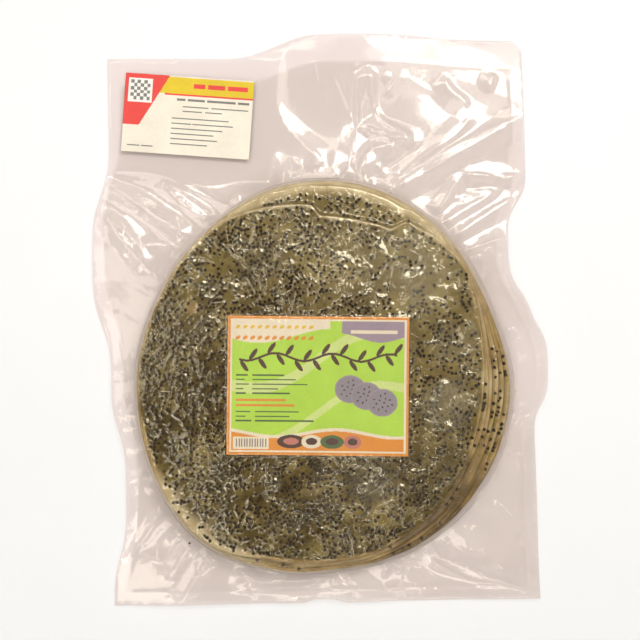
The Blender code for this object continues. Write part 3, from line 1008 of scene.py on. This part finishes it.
def add_all_seeds(finish):
    """Seeds on the last cracker, on the ledges below it and under the stack. Returns those above."""
    draw = random.Random(11)

    def on_top(x, y):
        inward = inside_cracker(LAST, x, y)
        under_label = in_turned_box(x, y, LABEL_CENTRE, LABEL_SIZE, LABEL_TURN, -0.003)
        if inward < 0.0018 or under_label > 0.0:
            return 0.0
        cluster = 0.50 + 0.90 * noise_at(x, y, 0.016, 2.0) - 2.2 * max(0.0, x)
        cluster += 0.90 * noise_at(x, y, 0.0055, 4.0)
        cluster -= 0.34 * patch(x, y, *BARE_PATCH)
        bare = BARE_RIM[1] * near_direction(stack_polar(x, y)[1], LOWER_LEFT)
        return min(1.0, cluster) * (0.35 + 0.65 * float(smooth(0.4 * bare - 0.001, bare + 0.004, inward)))

    def top_z(x, y):
        return float(cracker_top(LAST, x, y)) + SEED_HEIGHT * 0.30

    spots = scatter(draw, *TOP_SEEDS, on_top, top_z)
    add_seeds("seeds_top", spots, finish)
    ledge_spots = []
    for level in range(LAST - 1, DRAPED_FROM - 1, -1):
        def on_ledge(x, y):
            if inside_cracker(level + 1, x, y) > -0.0012:
                return 0.0
            bare = 0.0018 + 0.0042 * near_direction(stack_polar(x, y)[1], BACK_RIM)
            return 1.0 if inside_cracker(level, x, y) > bare else 0.0

        def ledge_z(x, y):
            return float(cracker_top(level, x, y)) + SEED_HEIGHT * 0.25

        ledge_spots += scatter(draw, *LEDGE_SEEDS, on_ledge, ledge_z)
    stray = (*STRAY_SEED, float(margin_height(*STRAY_SEED)) - SHEET_GAP / 2.0, 0.6, 0.0, 0.62)
    add_seeds("seeds_ledge", ledge_spots + [stray], finish)

    def on_back(x, y):
        return 0.7 if inside_cracker(0, x, y) > 0.008 else 0.0

    def back_z(x, y):
        return BASE_LIFT + SEED_HEIGHT * 0.64

    add_seeds("seeds_back", scatter(draw, *BACK_SEEDS, on_back, back_z), finish)
    return spots + ledge_spots


# Film


def label_share(x, y):
    """1 over the label, fading out beside it."""
    inside = in_turned_box(x, y, LABEL_CENTRE, LABEL_SIZE, LABEL_TURN, 0.0012)
    return smooth(0.0, 0.0016, inside)


def crinkle_share(x, y):
    """How crinkled the film over the stack is, 0 to 1."""
    share = [strength * patch(x, y, cx / 1000.0, cy / 1000.0, reach / 1000.0)
             for cx, cy, reach, strength in CRINKLES]
    return np.max(share, axis=0)


def margin_film(x, y, net, folds):
    """Height of the upper sheet off the stack, creases and all."""
    near = np.exp(-np.maximum(0.0, beyond_stack(x, y)) / SKIRT_REACH)
    calm = 1.0 - 0.85 * patch(x, y, *CALM_SPOT)
    facets = (net.height(x, y) - 0.5) * mix(*FACET_HEIGHTS, near)
    rise = np.sum([fold.rise(x, y) for fold in folds], axis=0)
    relief = (facets + rise) * calm * (1.0 - card_seat_share(x, y))
    return np.maximum(margin_height(x, y) + relief, 0.0012)


def pressed_relief(x, y):
    """Ridges, small facets and domes of the film that is drawn tight over the stack."""
    radius, angle = stack_polar(x, y)
    crinkled = crinkle_share(x, y)
    often = mix(0.4, 1.0, crinkled) * smooth(-0.15, 0.25, noise_field(x, y, 0.040, 17.0))
    squiggle = RIDGE_HEIGHT * ridges(x, y, RIDGE_SIZE, 13.0, 1.6) * often
    patchy = smooth(-0.25, 0.20, noise_field(x, y, 0.014, 27.0))
    crumpled = CRUMPLE_HEIGHT * crumple(x, y, CRUMPLE_SIZE, 7) * mix(0.08, 0.85, smooth(0.0, 0.6, crinkled))
    large = domes(x, y, LARGE_DOME, 3) / LARGE_DOME_CURVE * smooth(0.3, 0.8, crinkled)
    small = domes(x, y, SMALL_DOME, 4) / SMALL_DOME_CURVE * (1.0 - smooth(0.3, 0.8, crinkled))
    dotted = smooth(0.02, 0.16, noise_field(x, y, 0.016, 37.0) + 0.16 * crinkled)
    dotted = dotted * smooth(0.0, 0.006, top_edge(angle) - radius)
    pressed = squiggle + crumpled * mix(0.2, 1.0, patchy) + (large + small) * dotted
    return pressed * (1.0 - 0.85 * label_share(x, y))


def film_height(x, y, net, folds):
    """Height of the upper sheet: draped on the stack, steep at its foot, then the margin."""
    return mix(stack_height(x, y) + pressed_relief(x, y), margin_film(x, y, net, folds), past_stack(x, y))


def seed_bumps(x, y, spots):
    """Small domes of film over the seeds nearest to each point."""
    tree = KDTree(len(spots))
    for i, spot in enumerate(spots):
        tree.insert((spot[0], spot[1], 0.0), i)
    tree.balance()
    bumps = np.zeros_like(x)
    for i in np.nonzero(beyond_stack(x, y) < 0.0)[0]:
        distance = tree.find((x[i], y[i], 0.0))[2]
        if distance < SEED_BUMP_REACH:
            bumps[i] = SEED_BUMP_HEIGHT * (1.0 - (distance / SEED_BUMP_REACH) ** 4)
    return bumps


def add_cover(finish, spots, net, folds):
    """The film over the stack and down to its foot. Returns the places of its rim."""

    def stations(angle):
        top, stack = top_edge(angle), stack_edge(angle)
        return np.zeros_like(top), top - EDGE_ROUNDING, stack, stack + FOOT_REACH

    x, y = ring_layout(COVER_CELLS, (0.0, 0.79, 0.92, 1.0), stations)
    labelled, crinkled = label_share(x, y), crinkle_share(x, y)
    z = film_height(x, y, net, folds) + seed_bumps(x, y, spots) * (1.0 - 0.8 * crinkled)
    z = z + (TOUCH_GAP + LABEL_THICKNESS + 0.0002) * labelled
    points = np.stack([x, y, z], axis=1)
    cover = make_object("film_cover", points, grid_quads(COVER_CELLS, COVER_CELLS).tolist(), finish)
    over = 1.0 - smooth(-0.001, 0.002, beyond_stack(x, y))
    finish_film(cover, over * (1.0 - 0.6 * labelled), np.zeros_like(x), crinkled)
    return points[grid_rim(COVER_CELLS, COVER_CELLS), :2]


def inside_bag(x, y, left=0.0, right=0.0, low=0.0, high=0.0):
    """How far a place lies inside the edges of the bag, each of them moved in by its own amount."""
    gaps = (x - left_edge(y) - left, right_edge(y) - right - x,
            y - lower_edge(x) - low, upper_edge(x) - high - y)
    return np.min(gaps, axis=0)


def seal_share(x, y):
    """How pale the film is, 0 to 1: in the pressed band along the sides, partly painted light that fades
    towards the lower right, and in the right bulge.
    """
    band = smooth(0.0015, -0.0015, inside_bag(x, y, **SEAL_INSET))
    # Painted light: the band is palest at the upper left and fades towards the lower right.
    band = band * mix(0.15, 1.0, smooth(-0.20, 0.10, y - x))
    across, up = ((place - middle) / reach
                  for place, middle, reach in zip((x, y), PALE_BULGE, PALE_BULGE_REACH))
    return np.maximum(band, 0.70 * patch(across, up, 0.0, 0.0, 1.0))


def finish_film(piece, over, seal, crinkled):
    paint_values(piece, over_stack=over, seal=seal, crinkled=crinkled)
    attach(piece, "root")
    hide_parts("bag")


def bag_outline():
    """Places round the edge of the bag, anticlockwise, about 2 mm apart."""
    columns, rows = 150, 200
    u, v = (2.0 * places[grid_rim(columns, rows)] for places in grid_places(columns, rows))
    return np.stack(bag_point(u, v), axis=1)


def margin_points(net, folds):
    """Mesh points for the margin: an even field, and rows along every fold."""
    draw = random.Random(5)
    even = MARGIN_CELL * np.array([(i + draw.uniform(-0.3, 0.3), k + draw.uniform(-0.3, 0.3))
                                   for i in range(-68, 69) for k in range(-86, 87)])
    points = np.concatenate([even, net.rows()] + [fold.rows() for fold in folds])
    x, y = points.T
    clear = np.minimum(beyond_stack(x, y) - FOOT_REACH, inside_bag(x, y))
    return points[clear > MARGIN_GAP]


def sheet_under_stack():
    """Points of the lower sheet under the stack, and how far each is lifted to the margin, 0 to 1."""

    def stations(angle):
        stack = stack_edge(angle)
        return np.zeros_like(stack), stack - 0.001, stack + FOOT_REACH - 0.0008

    x, y = ring_layout(BASE_CELLS, (0.0, 0.86, 1.0), stations)
    lift = smooth(-0.001, FOOT_REACH, beyond_stack(x, y))
    z = lift * (margin_height(x, y) - SHEET_GAP) + (1.0 - lift) * BASE_LIFT
    return np.stack([x, y, z], axis=1), lift


def add_margin(finish, net, folds, cover_rim):
    """Both sheets of the margin, joined round the bag's edge, and the sheet under the stack."""
    outline = bag_outline()
    flat = [Vector(place) for place in np.concatenate([outline, cover_rim, margin_points(net, folds)])]
    edge = list(range(len(outline)))
    ring = list(range(len(outline), len(outline) + len(cover_rim)))
    made = geometry.delaunay_2d_cdt(flat, [], [edge, ring], 1, 1e-7)
    corners, faces, sources, areas = made[0], made[2], made[3], made[5]
    kept = [tuple(face) for face, area in zip(faces, areas) if area == [0]]
    place_of = {source: i for i, group in enumerate(sources) for source in group}
    x, y = np.array([(c.x, c.y) for c in corners]).T
    edge, ring = [place_of[i] for i in edge], [place_of[i] for i in ring]
    front = np.stack([x, y, film_height(x, y, net, folds)], axis=1)
    back = front - (0.0, 0.0, SHEET_GAP)
    back[edge, 2] = front[edge, 2] - EDGE_GAP
    base, lift = sheet_under_stack()
    count = len(front)
    faces = kept + [(a + count, c + count, b + count) for a, b, c in kept]
    faces += [(a, a + count, b + count, b) for a, b in zip(edge, edge[1:] + edge[:1])]
    faces += (grid_quads(BASE_CELLS, BASE_CELLS)[:, ::-1] + 2 * count).tolist()
    faces += hem_faces(grid_rim(BASE_CELLS, BASE_CELLS) + 2 * count, np.array(ring) + count)
    margin = make_object("film_margin", np.concatenate([front, back, base]), faces, finish)
    over = np.concatenate([np.zeros(2 * count), 1.0 - lift])
    seal = np.concatenate([np.tile(seal_share(x, y), 2), np.zeros(len(base))])
    finish_film(margin, over, seal, np.zeros(len(over)))


# Printed pieces: a fine sheet whose cells take the ink of the shape that covers them


def sheet_grid(size, centre, turn, cell):
    """Corners, cells, rim and the cells' middles (in mm) of a sheet, for cells of about one size."""
    columns, rows = round(size[0] / cell), round(size[1] / cell)
    across, up = grid_places(columns, rows)
    u, v = across * size[0], up * size[1]
    x = centre[0] + u * math.cos(turn) - v * math.sin(turn)
    y = centre[1] + u * math.sin(turn) + v * math.cos(turn)
    quads = grid_quads(columns, rows)
    middle_u = (across[quads[:, 0]] + 0.5 / columns) * size[0] * 1000.0
    middle_v = (up[quads[:, 0]] + 0.5 / rows) * size[1] * 1000.0
    return x, y, quads, grid_rim(columns, rows), (middle_u, middle_v)


def add_sheet(name, size, centre, turn, thickness, surface, inks, ink_of):
    """A thin closed sheet. ink_of(u, v) gives each cell's ink for places in mm from its centre."""
    x, y, quads, rim, middles = sheet_grid(size, centre, turn, PRINT_CELL)
    upper = np.stack([x, y, surface(x, y) + thickness], axis=1)
    x, y, lower_quads, lower_rim, _ = sheet_grid(size, centre, turn, UNDER_CELL)
    lower = np.stack([x, y, surface(x, y)], axis=1)
    count = len(upper)
    faces = quads.tolist() + (lower_quads[:, [0, 3, 2, 1]] + count).tolist()
    faces += hem_faces(rim, lower_rim + count)
    sheet = make_object(name, np.concatenate([upper, lower]), faces, *inks.values())
    names = list(inks)
    slots = np.zeros(len(faces), np.int32)
    slots[:len(quads)] = [names.index(ink) for ink in ink_of(*middles)]
    sheet.data.polygons.foreach_set("material_index", slots)
    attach(sheet, "root")
    return sheet


class Print:
    """Paints named inks over the cells of a sheet, each shape over the ones before."""

    def __init__(self, u, v, ground):
        self.u, self.v = u, v
        self.ink = np.full(len(u), ground, object)

    def fill(self, inside, ink):
        self.ink[inside] = ink

    def box(self, left, low, right, high, ink):
        self.fill((self.u > left) & (self.u < right) & (self.v > low) & (self.v < high), ink)

    def oval(self, u, v, wide, tall, ink, turn=0.0):
        cos, sin = math.cos(turn), math.sin(turn)
        across, up = self.u - u, self.v - v
        along, aside = across * cos + up * sin, up * cos - across * sin
        self.fill((along / wide) ** 2 + (aside / tall) ** 2 < 1.0, ink)

    def bars(self, left, top, pitch, lengths, thick, ink):
        """Plain bars in rows, as small print looks from afar."""
        for row, runs in enumerate(lengths):
            start = left
            for length, space in runs:
                high = top - row * pitch
                self.box(start, high - thick, start + length, high, ink)
                start += length + space


def label_design(u, v):
    """A leafy stem, three seeded discs, dots, ovals and plain bars, in mm from the middle."""
    half_u, half_v = LABEL_SIZE[0] * 500.0, LABEL_SIZE[1] * 500.0
    p = Print(u, v, "orange")
    p.box(1.8 - half_u, 1.8 - half_v, half_u - 1.8, half_v - 1.8, "cream")
    p.box(3.2 - half_u, 3.2 - half_v, half_u - 3.2, half_v - 3.2, "lime")
    inner = (abs(u) < half_u - 3.2) & (abs(v) < half_v - 3.2)
    sweep = v - 0.30 * u - 9.0 * np.sin(u / 19.0)
    p.fill(inner & (sweep > 14.0) & (sweep < 22.0), "pale_lime")
    p.fill(inner & (sweep < -16.0) & (sweep > -22.0), "pale_lime")
    p.fill(inner & (v > 34.0 + 5.0 * np.sin(u / 16.0 + 1.0)) & (u < 8.0), "cream")
    for i in range(11):
        p.oval(-55.0 + i * 5.0, 40.0, 1.8, 1.0, "yellow", 0.5)
        p.oval(-55.0 + i * 5.0, 32.5, 1.9, 1.1, "orange", 0.5)
    p.fill(inner & (v > 33.0 + 3.0 * np.sin(u / 9.0)) & (u > 16.0), "mauve")
    p.fill(inner & (v > 36.0) & (v < 38.5) & (u > 22.0) & (u < 54.0), "cream")
    stem = 19.5 + 2.6 * np.sin(u / 6.2)
    p.fill((abs(v - stem) < 0.8) & (abs(u) < 54.0), "wine")
    for i in range(18):
        at = -52.0 + i * 6.2
        side = 1.0 if i % 2 else -1.0
        lift = 19.5 + 2.6 * math.sin(at / 6.2)
        p.oval(at + 1.5, lift + side * 4.2, 4.4, 1.5, "wine", side * 0.95)
    rows = [((8, 3), (22, 0)), ((6, 5), (30, 0)), ((9, 2), (38, 4)), ((5, 6), (18, 0)), ((7, 4), (26, 0))]
    p.bars(-56.0, 7.5, 3.1, rows, 1.0, "leaf")
    p.bars(-56.0, -9.0, 3.6, [((34, 0),), ((40, 0),)], 1.9, "orange")
    p.bars(-56.0, -17.5, 3.1, [((10, 3), (30, 0)), ((7, 6), (24, 0)), ((11, 2), (40, 0))], 1.0, "leaf")
    for i in range(3):
        p.oval(22.0 + i * 11.0, -2.0 - i * 4.5, 10.5, 9.5, "mauve")
        p.oval(22.0 + i * 11.0, -2.0 - i * 4.5, 9.6, 8.6, "grey")
        for k in range(14):
            turn = k * 2.4
            reach = 1.9 * math.sqrt(k + 0.5)
            p.oval(22.0 + i * 11.0 + reach * math.cos(turn), -2.0 - i * 4.5 + reach * math.sin(turn),
                   0.8, 0.5, "wine", turn)
    wave = -33.5 + 2.6 * np.sin(u / 13.0 + 0.6)
    p.fill(inner & (v < wave + 2.2), "cream")
    p.fill(inner & (v < wave), "orange")
    p.box(-57.5, -43.6, -33.0, -35.2, "cream")
    for i in range(12):
        p.box(-55.5 + i * 1.8, -42.0, -54.7 + i * 1.8, -36.4, "ash")
    for i, (wide, ink) in enumerate(((9.5, "wine"), (7.0, "cream"), (8.0, "leaf"), (6.0, "rose"))):
        p.oval(-18.0 + i * 14.0, -38.2, wide, 4.6, ink)
        p.oval(-18.0 + i * 14.0, -38.0, wide * 0.55, 2.4, "rose" if ink == "wine" else "wine")
    return p.ink


def card_design(u, v):
    """A coloured corner and band, a checked square and plain bars, in mm from the middle."""
    half_u, half_v = CARD_SIZE[0] * 500.0, CARD_SIZE[1] * 500.0
    p = Print(u, v, "card_cream")
    p.box(half_u - 68.0, half_v - 12.5, half_u, half_v - 0.6, "card_yellow")
    p.fill((v > half_v - 13.6) & (v < half_v - 12.5) & (u > half_u - 62.0), "card_red")
    down = half_v - v
    right = u + half_u
    p.fill((right + down * 0.55 < 31.0) & (down < 36.0), "card_red")
    p.box(2.4 - half_u, half_v - 20.0, 19.4 - half_u, half_v - 3.0, "card_white")
    for i in range(6):
        for k in range(6):
            if (i + k) % 2:
                p.box(4.0 - half_u + i * 2.3, half_v - 18.3 + k * 2.3,
                      6.3 - half_u + i * 2.3, half_v - 16.0 + k * 2.3, "card_grey")
    p.bars(3.0, half_v - 4.6, 4.0, [((8, 2), (12, 2), (14, 0))], 3.4, "card_red")
    p.bars(-8.0, half_v - 15.6, 3.4, [((6, 1.5), (12, 1.5), (20, 1.5), (8, 0))], 1.7, "card_grey")
    p.bars(-4.0, half_v - 20.8, 3.2, [((18, 2), (26, 0)), ((14, 2), (12, 0))], 0.8, "card_grey")
    p.bars(-11.0, half_v - 29.0, 3.6, [((40, 0),), ((14, 1), (28, 0)), ((36, 0),),
                                      ((30, 0),), ((33, 0),), ((26, 0),)], 1.0, "card_grey")
    p.bars(4.0 - half_u, 5.0 - half_v, 3.0, [((9, 1), (8, 0))], 0.7, "card_grey")
    return p.ink


def add_label():
    inks = {name: ink_material("ink_" + name, colour) for name, colour in LABEL_INKS.items()}
    label = add_sheet("label_paper", LABEL_SIZE, LABEL_CENTRE, LABEL_TURN, LABEL_PAPER,
                      lambda x, y: top_height(x, y) + TOUCH_GAP, inks, label_design)
    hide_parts("label")


def add_card():
    inks = {name: ink_material(name, colour, 0.5) for name, colour in CARD_INKS.items()}
    card = add_sheet("card_stock", CARD_SIZE, CARD_CENTRE, CARD_TURN, CARD_THICKNESS,
                     lambda x, y: np.full_like(x, CARD_SEAT), inks, card_design)
    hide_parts("card")


# Floor, light and camera


def add_floor():
    across, up = grid_places(8, 8)
    corners = FLOOR_WIDTH * np.stack([across, up, np.zeros_like(up)], axis=1)
    floor = make_object("floor", corners, grid_quads(8, 8).tolist(), floor_material())


def add_light(name, place, size, power, colour):
    """A soft light that points at the middle of the pack."""
    light = bpy.data.lights.new(name, 'AREA')
    light.shape = 'RECTANGLE'
    light.size, light.size_y = size
    light.energy = power
    light.color = colour
    lamp = add_object(name, light, place)
    lamp.rotation_euler = (-Vector(place)).to_track_quat('-Z', 'Y').to_euler()


def add_world():
    """A studio: soft bright panels well off the zenith, even light all round, dimmer overhead."""
    n = Nodes(bpy.data.worlds.new("soft_room"), "Generated")
    black, white, dusk = ((grey, grey, grey) for grey in (0.0, 1.0, 0.12))
    height = n.add("SeparateXYZ", n.place).outputs["Z"]
    panels = n.ramp(n.noise(5.5, 0.5, 0.5), (0.42, ROOM_DIM), (0.60, ROOM_BRIGHT))
    bulbs = n.ramp(n.cells(9.0), (0.13, ROOM_BULB), (0.17, black))
    zone = n.ramp(height, (0.60, black), (0.70, white), (0.90, white), (0.955, dusk))
    around = n.ramp(height, (0.04, (0.80, 0.79, 0.77)), (0.12, ROOM_EVEN), (0.60, ROOM_EVEN),
                    (0.75, (0.01, 0.01, 0.01)))
    lit = n.vector('MULTIPLY', n.vector('ADD', panels, bulbs), zone)
    bpy.context.scene.world = n.finish("Background", Color=n.vector('ADD', lit, around))


def add_camera():
    """Straight down on the pack, with the photograph's 451 mm across the frame."""
    camera = bpy.data.cameras.new("camera")
    camera.sensor_width = 36.0
    camera.lens = camera.sensor_width * CAMERA_HEIGHT / FRAME_WIDTH
    bpy.context.scene.camera = add_object("camera", camera, (0.0, 0.0, CAMERA_HEIGHT))


def main():
    add_floor()
    add_world()
    for light in LIGHTS:
        add_light(*light)
    add_camera()
    bpy.context.scene.view_settings.view_transform = 'Standard'
    cracker = cracker_material()
    for level in range(CRACKER_COUNT):
        add_cracker(level, cracker)
    spots = add_all_seeds(seed_material())
    add_label()
    add_card()
    folds = [Fold(*fold) for fold in FOLDS] + small_folds() + seal_folds()
    net = Net(*FACET_SIZE, 31)
    film = film_material()
    cover_rim = add_cover(film, spots, net, folds)
    add_margin(film, net, folds, cover_rim)


main()
